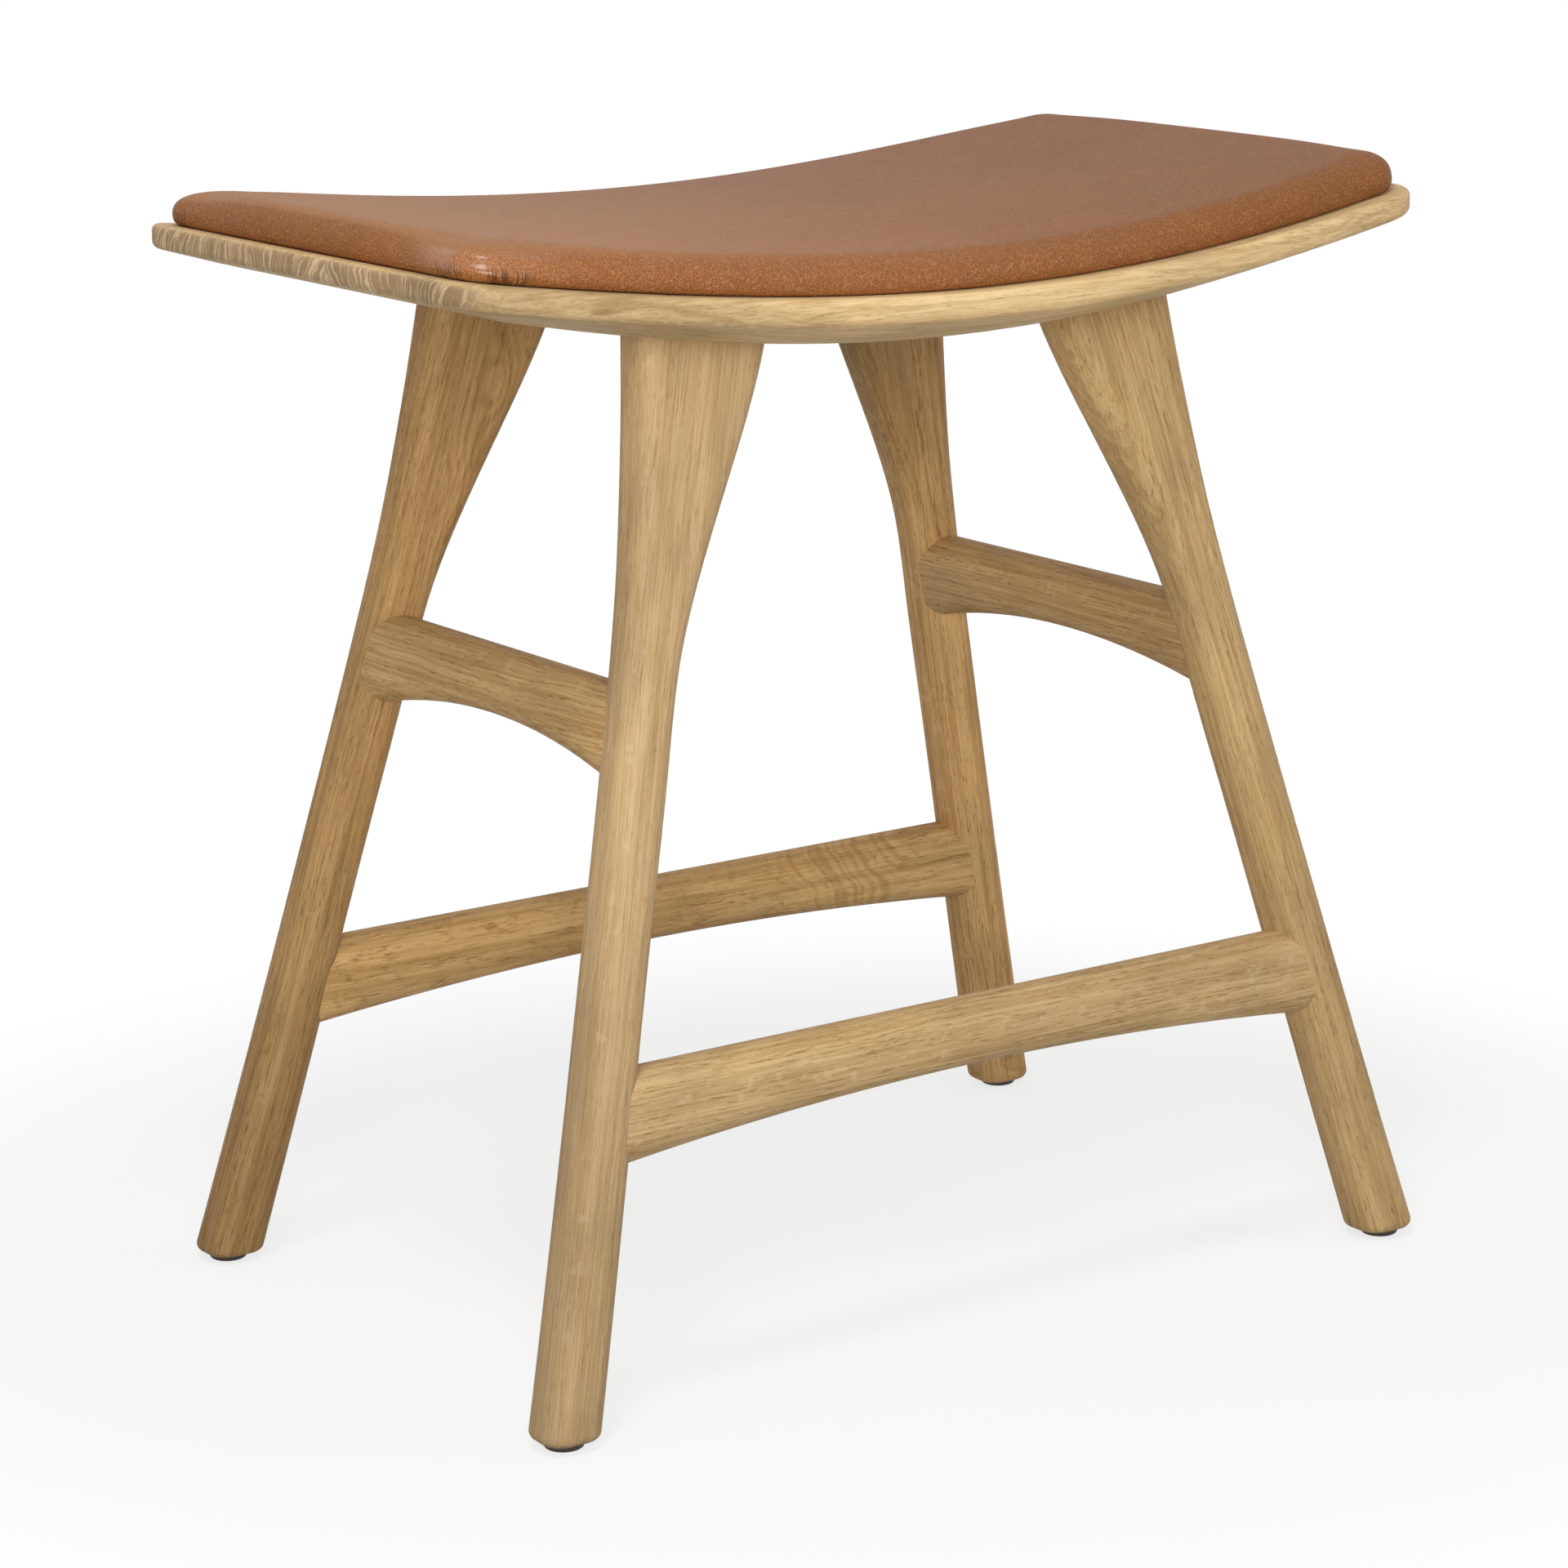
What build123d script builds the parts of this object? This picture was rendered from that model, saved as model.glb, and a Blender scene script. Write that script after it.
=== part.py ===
# Oak saddle stool with a leather seat pad, in millimetres, floor at z = 0
import os
from math import atan, copysign, cos, hypot, sin, tan

from build123d import *

os.makedirs("parts", exist_ok=True)

# Seat board sizes
seat_length = 500.0
seat_depth = 317.8
seat_end_taper = 45.0
seat_end_bulge = 1.0
seat_corner_radius = 25.0
seat_rim_radius = 2.9
seat_under_radius = 3.5
seat_middle_height = 458.6
seat_dish_rise = 21.6
seat_middle_thickness = 24.3
seat_end_thickness = 13.6
seat_edge_thickness = 10.4
seat_bevel_width = 52.0
stave_count = 5
stave_overrun = 1.1

# Seat pad sizes
pad_margin = 7.3
pad_corner_radius = 18.0
pad_edge_height = 16.0
pad_crown = 8.2
pad_roll_radius = 11.5
pad_board_inset = 0.6
leather_thickness = 1.2
pad_soft_clearance = 0.3
pad_fold_height = 1.2
pad_fold_width = 22.0
pad_board_thickness = 6.0
layer_clearance = 0.1

# Leg sizes, set in from the ends and sides of the seat
leg_end_inset = 27.2
leg_side_inset = 12.6
leg_top_drop = 6.6
leg_lean_slope_share = 0.1449
leg_splay_slope_share = 0.2485
leg_width = 26.4
leg_thickness = 26.7
leg_corner_radius = 9.8
leg_foot_radius = 3.6

# Stretcher sizes
long_top_height = 148.3
long_middle_underside = 118.8
long_end_underside = 108.2
long_thickness = 25.0
long_edge_radius = 11.6
short_top_height = 300.6
short_middle_underside = 272.4
short_end_underside = 259.0
short_thickness = 24.0
short_edge_radius = 11.1
stretcher_let_in = 12.0

# Dowels, screws and glides
stretcher_dowel_diameter = 8.0
stretcher_dowel_in_leg = 14.0
stretcher_dowel_in_bar = 22.0
stretcher_dowel_spacing = 17.0
seat_dowel_diameter = 12.0
seat_dowel_in_seat = 13.0
seat_dowel_in_leg = 24.0
seat_dowel_spacing = 29.0
dowel_clearance = 0.05
dowel_end_room = 0.6
screw_end_inset = 85.0
screw_side_inset = 113.9
screw_shank_diameter = 4.5
screw_head_diameter = 9.0
screw_head_height = 3.0
screw_bite = 4.5
screw_cover_depth = 9.0
screw_recess_diameter = 11.0
glide_diameter = 17.0
glide_height = 3.2
glide_edge_radius = 1.4
nail_head_diameter = 6.4
nail_head_height = 1.2
nail_recess_diameter = 7.0
nail_recess_depth = 1.6
nail_shank_diameter = 2.6
nail_length = 17.0

# Shapes given as shares of the sizes above
station_shares = (-1.04, -0.78, -0.52, -0.26, 0, 0.26, 0.52, 0.78, 1.04)
bevel_inset_shares = (-0.04, -0.02, 0, 0.02, 0.05, 0.09, 0.14, 0.2, 0.27, 0.35, 0.44, 0.55, 0.7, 0.88, 1.08, 1.3)
bevel_power_share = 0.95
board_station_shares = (0, 0.2, 0.4, 0.6)
dish_square_share = 1.18
dish_fourth_share = 0.18
leg_height_shares = (-0.03, 0.243, 0.465, 0.597, 0.686, 0.763, 0.841, 0.918, 0.973, 1.03)
leg_outer_shares = (0.547, 0.485, 0.479, 0.487, 0.510, 0.561, 0.669, 0.807, 0.931, 1.071)
leg_inner_shares = (-0.536, -0.515, -0.495, -0.494, -0.509, -0.722, -1.054, -1.371, -1.497, -1.444)

# Places worked out from the sizes
seat_end_depth = seat_depth - seat_end_taper
stave_width = (seat_depth + 2 * stave_overrun) / stave_count
leg_axis_spread = seat_length / 2 - leg_end_inset
foot_depth_spread = seat_depth / 2 - leg_side_inset
leg_top_height = seat_middle_height - leg_top_drop
leg_lean = atan(leg_lean_slope_share)
leg_splay = atan(leg_splay_slope_share)
screw_length_way = seat_length / 2 - screw_end_inset
screw_depth_way = seat_depth / 2 - screw_side_inset


# The dish of the seat along its length
def dish_height(x):
    u = 2 * x / seat_length
    rise = dish_square_share * u**2 - dish_fourth_share * u**4
    return seat_middle_height + seat_dish_rise * rise


def board_thickness(x):
    u = 2 * x / seat_length
    return seat_middle_thickness - (seat_middle_thickness - seat_end_thickness) * u**2


def half_depth(x, margin):
    u = 2 * x / seat_length
    return seat_depth / 2 - margin - (seat_depth - seat_end_depth) / 2 * u**2


# Plan outline with bowed long sides, drawn in from the seat edge by a margin
def outline_face(margin, corner):
    end_x = seat_length / 2 - seat_end_bulge - margin
    end_y = seat_end_depth / 2 - margin
    side_y = seat_depth / 2 - margin
    with BuildSketch() as face:
        with BuildLine():
            ThreePointArc((-end_x, -end_y), (0, -side_y), (end_x, -end_y))
            ThreePointArc((end_x, -end_y), (end_x + seat_end_bulge, 0), (end_x, end_y))
            ThreePointArc((end_x, end_y), (0, side_y), (-end_x, end_y))
            ThreePointArc((-end_x, end_y), (-end_x - seat_end_bulge, 0), (-end_x, -end_y))
        make_face()
        fillet(face.vertices(), radius=corner)
    return face.sketch


# Solid between two copies of the dish, bottom_rise and top_rise above the seat
def dished_slab(bottom_rise, top_rise, crown, margin, corner):
    side = seat_depth / 2
    plan = outline_face(margin, corner)
    with BuildPart() as slab:
        for share in station_shares:
            x = share * seat_length / 2
            base = dish_height(x)
            room = 1 - (x / (seat_length / 2)) ** 2
            middle = base + top_rise + crown * room
            edge_share = 1 - (side / half_depth(x, margin)) ** 2
            edge = base + top_rise + crown * room * edge_share
            with BuildSketch(Plane.YZ.offset(x)):
                with BuildLine():
                    low_left = (-side, base + bottom_rise)
                    low_right = (side, base + bottom_rise)
                    Line(low_left, low_right)
                    Line(low_right, (side, edge))
                    if crown > 0:
                        ThreePointArc((side, edge), (0, middle), (-side, edge))
                    else:
                        Line((side, edge), (-side, edge))
                    Line((-side, edge), low_left)
                make_face()
        loft()
        with BuildSketch():
            add(plan)
        extrude(amount=2 * seat_middle_height, mode=Mode.INTERSECT)
    return slab.part


# Way in from the rounded edge of the board, less than zero outside it
def board_inset(x, y):
    side_way = half_depth(x, 0) - abs(y)
    end_way = seat_length / 2 - abs(x)
    to_side = max(seat_corner_radius - side_way, 0)
    to_end = max(seat_corner_radius - end_way, 0)
    way = seat_corner_radius - hypot(to_side, to_end)
    way += max(min(side_way, end_way) - seat_corner_radius, 0)
    return max(way, bevel_inset_shares[0] * seat_bevel_width)


# Height of the board's underside, which curves up to the edge all round
def board_underside(x, y):
    inset = board_inset(x, y)
    share = min(abs(inset) / seat_bevel_width, 1)
    rise = (1 - (1 - share) ** 2) ** bevel_power_share
    room = board_thickness(x) - seat_edge_thickness
    return dish_height(x) - seat_edge_thickness - room * copysign(rise, inset)


# Seat board before it is divided into staves
end_stations = [seat_length / 2 - share * seat_bevel_width for share in bevel_inset_shares]
half_stations = [share * seat_length / 2 for share in board_station_shares] + end_stations[::-1]
stations = [-x for x in reversed(half_stations[1:])] + half_stations
underside_points = []
for x in stations:
    inner_ways = [share * seat_bevel_width - half_depth(x, 0) for share in bevel_inset_shares]
    ways = inner_ways + [0] + [-y for y in reversed(inner_ways)]
    underside_points.append([Vector(x, y, board_underside(x, y)) for y in ways])
underside = Face.make_surface_from_array_of_points(underside_points)
dished_top = dished_slab(-2 * seat_middle_thickness, 0, 0, 0, seat_corner_radius)
with BuildPart() as seat_form:
    extrude(underside, amount=2 * seat_middle_height, dir=(0, 0, 1))
    add(dished_top, mode=Mode.INTERSECT)

seat_board = seat_form.part
rim_edges = []
for edge in seat_board.edges():
    spot = edge.position_at(0.5)
    if abs(spot.Z - dish_height(spot.X)) < seat_rim_radius / 8:
        rim_edges.append(edge)
seat_board = fillet(rim_edges, radius=seat_rim_radius)

under_edges = []
for edge in seat_board.edges():
    spot = edge.position_at(0.5)
    drop = dish_height(spot.X) - seat_edge_thickness - spot.Z
    if abs(drop) < seat_rim_radius / 2 and board_inset(spot.X, spot.Y) < seat_rim_radius / 4:
        under_edges.append(edge)
seat_board = fillet(under_edges, radius=seat_under_radius)


# Frames in which the legs and stretchers are drawn
def lean_plane(side_y):
    up = (0, -side_y * sin(leg_lean), cos(leg_lean))
    origin = (0, side_y * foot_depth_spread, 0)
    normal = Vector(1, 0, 0).cross(Vector(*up))
    return Plane(origin=origin, x_dir=(1, 0, 0), z_dir=normal)


def splay_plane(side_x):
    up = (-side_x * sin(leg_splay), 0, cos(leg_splay))
    origin = (side_x * leg_axis_spread, 0, 0)
    normal = Vector(0, 1, 0).cross(Vector(*up))
    return Plane(origin=origin, x_dir=(0, 1, 0), z_dir=normal)


def leg_axis_x(height):
    return leg_axis_spread - height * tan(leg_splay)


def leg_axis_y(height):
    return foot_depth_spread - height * tan(leg_lean)


# Leg before its holes, standing on its glide
def leg_form(side_x, side_y):
    outer, inner = [], []
    for up, out_share, in_share in zip(leg_height_shares, leg_outer_shares, leg_inner_shares):
        height = up * leg_top_height
        along = height / cos(leg_lean)
        outer.append((side_x * (leg_axis_x(height) + out_share * leg_width), along))
        inner.append((side_x * (leg_axis_x(height) + in_share * leg_width), along))
    with BuildPart() as leg:
        with BuildSketch(lean_plane(side_y)):
            with BuildLine():
                Spline(*outer)
                Line(outer[-1], inner[-1])
                Spline(*reversed(inner))
                Line(inner[0], outer[0])
            make_face()
        extrude(amount=leg_thickness / 2, both=True)
        long_edges = leg.edges().filter_by(lambda e: e.length > leg_top_height / 2)
        fillet(long_edges, radius=leg_corner_radius)
        with Locations((0, 0, glide_height)):
            Box(
                3 * seat_length,
                3 * seat_length,
                leg_top_height,
                align=(Align.CENTER, Align.CENTER, Align.MAX),
                mode=Mode.SUBTRACT,
            )
        foot_face = leg.faces().sort_by(Axis.Z)[0]
        fillet(foot_face.edges(), radius=leg_foot_radius)
        with Locations((0, 0, leg_top_height)):
            Box(
                3 * seat_length,
                3 * seat_length,
                leg_top_height,
                align=(Align.CENTER, Align.CENTER, Align.MIN),
                mode=Mode.SUBTRACT,
            )
        add(seat_board, mode=Mode.SUBTRACT)
    return leg.part


# Rods placed from a start point along a direction, for dowels and their holes
def rod(start, direction, radius, length):
    with BuildPart() as peg:
        with BuildSketch(Plane(origin=start, z_dir=direction)):
            Circle(radius)
        extrude(amount=length)
    return peg.part


def stretcher_dowel_list(side_x, side_y, grow, room):
    rods = []
    radius = stretcher_dowel_diameter / 2 + grow
    length = stretcher_dowel_in_leg + stretcher_dowel_in_bar + 2 * room
    long_middle = (long_top_height + long_end_underside) / 2
    short_middle = (short_top_height + short_end_underside) / 2
    for step in (-1, 1):
        shift = step * stretcher_dowel_spacing / 2
        z = long_middle + shift
        x = leg_axis_x(z) - leg_width / 2 - stretcher_dowel_in_bar - room
        start = (side_x * x, side_y * leg_axis_y(z), z)
        rods.append(rod(start, (side_x, 0, 0), radius, length))
        z = short_middle + shift
        y = leg_axis_y(z) - leg_thickness / 2 - stretcher_dowel_in_bar - room
        start = (side_x * leg_axis_x(z), side_y * y, z)
        rods.append(rod(start, (0, side_y, 0), radius, length))
    return rods


def seat_dowel_list(side_x, side_y, grow, room):
    rods = []
    radius = seat_dowel_diameter / 2 + grow
    length = seat_dowel_in_seat + seat_dowel_in_leg + 2 * room
    for step in (-1, 1):
        x = leg_axis_x(leg_top_height) + step * seat_dowel_spacing / 2
        under = dish_height(x) - board_thickness(x)
        low = under - (seat_dowel_in_leg + room) * cos(leg_lean)
        start = (side_x * x, side_y * leg_axis_y(low), low)
        direction = (0, -side_y * sin(leg_lean), cos(leg_lean))
        rods.append(rod(start, direction, radius, length))
    return rods


# Stretcher drawn in its own leaning plane, ends let past the leg faces
def stretcher_form(plane, top, middle_low, end_low, reach_top, reach_low, thick, radius, lean):
    high = top / cos(lean)
    low = end_low / cos(lean)
    with BuildPart() as bar:
        with BuildSketch(plane):
            with BuildLine():
                Line((-reach_top, high), (reach_top, high))
                Line((reach_top, high), (reach_low, low))
                ThreePointArc((reach_low, low), (0, middle_low / cos(lean)), (-reach_low, low))
                Line((-reach_low, low), (-reach_top, high))
            make_face()
        extrude(amount=thick / 2, both=True)
        long_edges = bar.edges().filter_by(lambda e: e.length > reach_top)
        fillet(long_edges, radius=radius)
    return bar.part


def long_reach(height):
    return leg_axis_x(height) - leg_width / 2 + stretcher_let_in


def short_reach(height):
    return leg_axis_y(height) - leg_thickness / 2 + stretcher_let_in


# Legs and glides, with their nails
side_names = {-1: "left", 1: "right"}
depth_names = {-1: "front", 1: "back"}
corners = [(-1, -1), (1, -1), (-1, 1), (1, 1)]
leg_forms = {corner: leg_form(*corner) for corner in corners}

stretcher_pegs = []
seat_pegs = []
stretcher_peg_holes = []
seat_peg_holes = []
for side_x, side_y in corners:
    stretcher_pegs += stretcher_dowel_list(side_x, side_y, 0, 0)
    seat_pegs += seat_dowel_list(side_x, side_y, 0, 0)
    stretcher_peg_holes += stretcher_dowel_list(side_x, side_y, dowel_clearance, dowel_end_room)
    seat_peg_holes += seat_dowel_list(side_x, side_y, dowel_clearance, dowel_end_room)

with BuildPart() as stretcher_dowels:
    for peg in stretcher_pegs:
        add(peg)
stretcher_dowels.part.label = "stretcher_dowels"
export_step(stretcher_dowels.part, "parts/stretcher_dowels.step")

with BuildPart() as seat_dowels:
    for peg in seat_pegs:
        add(peg)
seat_dowels.part.label = "seat_dowels"
export_step(seat_dowels.part, "parts/seat_dowels.step")

for side_x, side_y in corners:
    foot_spot = (side_x * leg_axis_x(glide_height), side_y * leg_axis_y(glide_height), 0)
    place = depth_names[side_y] + "_" + side_names[side_x]
    holes = stretcher_dowel_list(side_x, side_y, dowel_clearance, dowel_end_room)
    holes += seat_dowel_list(side_x, side_y, dowel_clearance, dowel_end_room)
    nail_room = nail_length + nail_recess_depth + dowel_end_room
    nail_hole_radius = nail_shank_diameter / 2 + dowel_clearance
    holes.append(rod(foot_spot, (0, 0, 1), nail_hole_radius, nail_room))
    with BuildPart() as leg:
        add(leg_forms[(side_x, side_y)])
        for hole in holes:
            add(hole, mode=Mode.SUBTRACT)
    leg.part.label = "leg_" + place
    export_step(leg.part, "parts/leg_" + place + ".step")

    with BuildPart() as glide:
        with BuildSketch(Plane(origin=foot_spot)):
            Circle(glide_diameter / 2)
        extrude(amount=glide_height)
        fillet(glide.edges().sort_by(Axis.Z)[0], radius=glide_edge_radius)
        with BuildSketch(Plane(origin=foot_spot)):
            Circle(nail_recess_diameter / 2)
        extrude(amount=nail_recess_depth, mode=Mode.SUBTRACT)
        with BuildSketch(Plane(origin=foot_spot)):
            Circle(nail_hole_radius)
        extrude(amount=glide_height, mode=Mode.SUBTRACT)
    glide.part.label = "glide_" + place
    export_step(glide.part, "parts/glide_" + place + ".step")

with BuildPart() as glide_nails:
    for side_x, side_y in corners:
        spot_x = side_x * leg_axis_x(glide_height)
        spot_y = side_y * leg_axis_y(glide_height)
        head_low = nail_recess_depth - nail_head_height
        with BuildSketch(Plane(origin=(spot_x, spot_y, head_low))):
            Circle(nail_head_diameter / 2)
        extrude(amount=nail_head_height)
        with BuildSketch(Plane(origin=(spot_x, spot_y, head_low))):
            Circle(nail_shank_diameter / 2)
        extrude(amount=nail_length)
glide_nails.part.label = "glide_nails"
export_step(glide_nails.part, "parts/glide_nails.step")

# Long stretchers low down at front and back
for side_y in (-1, 1):
    bar_form = stretcher_form(
        lean_plane(side_y),
        long_top_height,
        long_middle_underside,
        long_end_underside,
        long_reach(long_top_height),
        long_reach(long_end_underside),
        long_thickness,
        long_edge_radius,
        leg_lean,
    )
    with BuildPart() as bar:
        add(bar_form)
        for side_x in (-1, 1):
            add(leg_forms[(side_x, side_y)], mode=Mode.SUBTRACT)
        for hole in stretcher_peg_holes:
            add(hole, mode=Mode.SUBTRACT)
    bar.part.label = "stretcher_" + depth_names[side_y]
    export_step(bar.part, "parts/stretcher_" + depth_names[side_y] + ".step")

# Short stretchers higher up at left and right
for side_x in (-1, 1):
    bar_form = stretcher_form(
        splay_plane(side_x),
        short_top_height,
        short_middle_underside,
        short_end_underside,
        short_reach(short_top_height),
        short_reach(short_end_underside),
        short_thickness,
        short_edge_radius,
        leg_splay,
    )
    with BuildPart() as bar:
        add(bar_form)
        for side_y in (-1, 1):
            add(leg_forms[(side_x, side_y)], mode=Mode.SUBTRACT)
        for hole in stretcher_peg_holes:
            add(hole, mode=Mode.SUBTRACT)
    bar.part.label = "stretcher_" + side_names[side_x]
    export_step(bar.part, "parts/stretcher_" + side_names[side_x] + ".step")

# Screws that hold the pad from under the seat
screw_spots = [(x * screw_length_way, y * screw_depth_way) for x, y in corners]
screw_top = dish_height(screw_length_way) + layer_clearance + pad_fold_height + screw_bite
screw_under = dish_height(screw_length_way) - board_thickness(screw_length_way)
screw_head_top = screw_under + screw_cover_depth

with BuildPart() as pad_screws:
    for x, y in screw_spots:
        with BuildSketch(Plane(origin=(x, y, screw_head_top - screw_head_height))):
            Circle(screw_head_diameter / 2)
        extrude(amount=screw_head_height)
        with BuildSketch(Plane(origin=(x, y, screw_head_top))):
            Circle(screw_shank_diameter / 2)
        extrude(amount=screw_top - screw_head_top)
pad_screws.part.label = "pad_screws"
export_step(pad_screws.part, "parts/pad_screws.step")

screw_holes = []
for x, y in screw_spots:
    shank_radius = screw_shank_diameter / 2 + dowel_clearance
    shank_room = screw_top - screw_head_top + dowel_end_room
    screw_holes.append(rod((x, y, screw_head_top), (0, 0, 1), shank_radius, shank_room))
    recess_low = screw_head_top - seat_middle_thickness
    recess_radius = screw_recess_diameter / 2
    screw_holes.append(rod((x, y, recess_low), (0, 0, 1), recess_radius, seat_middle_thickness))

# Seat staves, edge glued, with holes for the leg dowels and pad screws
for number in range(stave_count):
    low_y = (number - stave_count / 2) * stave_width
    with BuildPart() as stave:
        add(seat_board)
        with Locations((0, low_y, 0)):
            Box(
                2 * seat_length,
                stave_width,
                2 * seat_middle_height,
                align=(Align.CENTER, Align.MIN, Align.MIN),
                mode=Mode.INTERSECT,
            )
        for hole in seat_peg_holes + screw_holes:
            add(hole, mode=Mode.SUBTRACT)
    stave.part.label = "seat_stave_" + str(number + 1)
    export_step(stave.part, "parts/seat_stave_" + str(number + 1) + ".step")

# Pad liner, a black cloth inside the turned-under leather
liner_low = layer_clearance
liner_high = pad_fold_height
liner_form = dished_slab(liner_low, liner_high, 0, pad_margin + pad_fold_width, pad_corner_radius)
with BuildPart() as pad_liner:
    add(liner_form)
    for hole in screw_holes:
        add(hole, mode=Mode.SUBTRACT)
pad_liner.part.label = "pad_liner"
export_step(pad_liner.part, "parts/pad_liner.step")

# Pad board of moulded plywood
board_low = liner_high + layer_clearance
board_high = board_low + pad_board_thickness
inner_margin = pad_margin + leather_thickness + pad_soft_clearance
inner_corner = pad_corner_radius - leather_thickness
board_margin = inner_margin + pad_board_inset
board_form = dished_slab(board_low, board_high, 0, board_margin, inner_corner)
with BuildPart() as pad_board:
    add(board_form)
    for hole in screw_holes:
        add(hole, mode=Mode.SUBTRACT)
pad_board.part.label = "pad_board"
export_step(pad_board.part, "parts/pad_board.step")


# Crowned pad shape with a rolled top edge
def pad_form(low, drop, margin, corner, roll):
    form = dished_slab(low, pad_edge_height - drop, pad_crown, margin, corner)
    roll_edges = []
    for edge in form.edges():
        spot = edge.position_at(0.5)
        height = spot.Z - dish_height(spot.X)
        if height - low > pad_edge_height / 4 and abs(edge.tangent_at(0.5).Z) < cos(leg_lean) / 2:
            roll_edges.append(edge)
    return fillet(roll_edges, radius=roll)


# Pad foam, crowned and rolled over at its edges
foam_low = board_high + layer_clearance
foam_drop = leather_thickness + pad_soft_clearance
foam_roll = pad_roll_radius - foam_drop
foam_form = pad_form(liner_high, foam_drop, inner_margin, inner_corner, foam_roll)
foam_floor = dished_slab(0, foam_low, 0, 0, seat_corner_radius)
with BuildPart() as pad_foam:
    add(foam_form)
    add(foam_floor, mode=Mode.SUBTRACT)
pad_foam.part.label = "pad_foam"
export_step(pad_foam.part, "parts/pad_foam.step")

# Pad cover of leather, turned under the board
leather_inner = pad_form(
    liner_high,
    leather_thickness,
    pad_margin + leather_thickness,
    inner_corner,
    pad_roll_radius - leather_thickness,
)
leather_outer = pad_form(layer_clearance, 0, pad_margin, pad_corner_radius, pad_roll_radius)
opening_margin = pad_margin + pad_fold_width - pad_soft_clearance
leather_opening = dished_slab(0, foam_low, 0, opening_margin, pad_corner_radius)
with BuildPart() as pad_cover:
    add(leather_outer)
    add(leather_inner, mode=Mode.SUBTRACT)
    add(leather_opening, mode=Mode.SUBTRACT)
pad_cover.part.label = "pad_cover"
export_step(pad_cover.part, "parts/pad_cover.step")
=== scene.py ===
import math

import bpy
import numpy as np
from mathutils import Matrix, Vector
from mathutils.kdtree import KDTree


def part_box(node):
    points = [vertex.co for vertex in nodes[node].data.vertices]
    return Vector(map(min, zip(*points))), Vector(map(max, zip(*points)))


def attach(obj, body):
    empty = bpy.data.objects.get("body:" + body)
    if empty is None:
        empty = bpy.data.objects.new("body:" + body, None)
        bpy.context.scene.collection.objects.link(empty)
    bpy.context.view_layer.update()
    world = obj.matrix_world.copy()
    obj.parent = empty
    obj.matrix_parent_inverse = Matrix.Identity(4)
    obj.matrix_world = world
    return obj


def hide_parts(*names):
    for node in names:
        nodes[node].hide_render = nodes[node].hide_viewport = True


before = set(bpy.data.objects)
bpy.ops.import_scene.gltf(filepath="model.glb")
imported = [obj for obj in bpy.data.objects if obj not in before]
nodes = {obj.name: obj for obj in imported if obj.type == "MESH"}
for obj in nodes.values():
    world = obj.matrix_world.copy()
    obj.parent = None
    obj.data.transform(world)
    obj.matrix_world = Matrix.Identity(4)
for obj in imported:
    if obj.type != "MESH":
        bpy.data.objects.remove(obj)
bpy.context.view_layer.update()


# Shader maths
class Flow:
    """A value, colour or vector on its way through a finish."""

    def __init__(self, finish, socket):
        self.finish = finish
        self.socket = socket

    def maths(self, operation, *others):
        """One Math node, fed with this value and the others."""
        return self.finish.node("Math", {"operation": operation}, dict(enumerate((self,) + others)))

    def __add__(self, other):
        return self.maths("ADD", other)

    def __sub__(self, other):
        return self.maths("SUBTRACT", other)

    def __rsub__(self, other):
        return self.finish.node("Math", {"operation": "SUBTRACT"}, {0: other, 1: self})

    def __mul__(self, other):
        return self.maths("MULTIPLY", other)

    def __truediv__(self, other):
        return self.maths("DIVIDE", other)

    def __pow__(self, other):
        return self.maths("POWER", other)

    def __abs__(self):
        return self.maths("ABSOLUTE")

    __radd__ = __add__
    __rmul__ = __mul__


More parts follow.
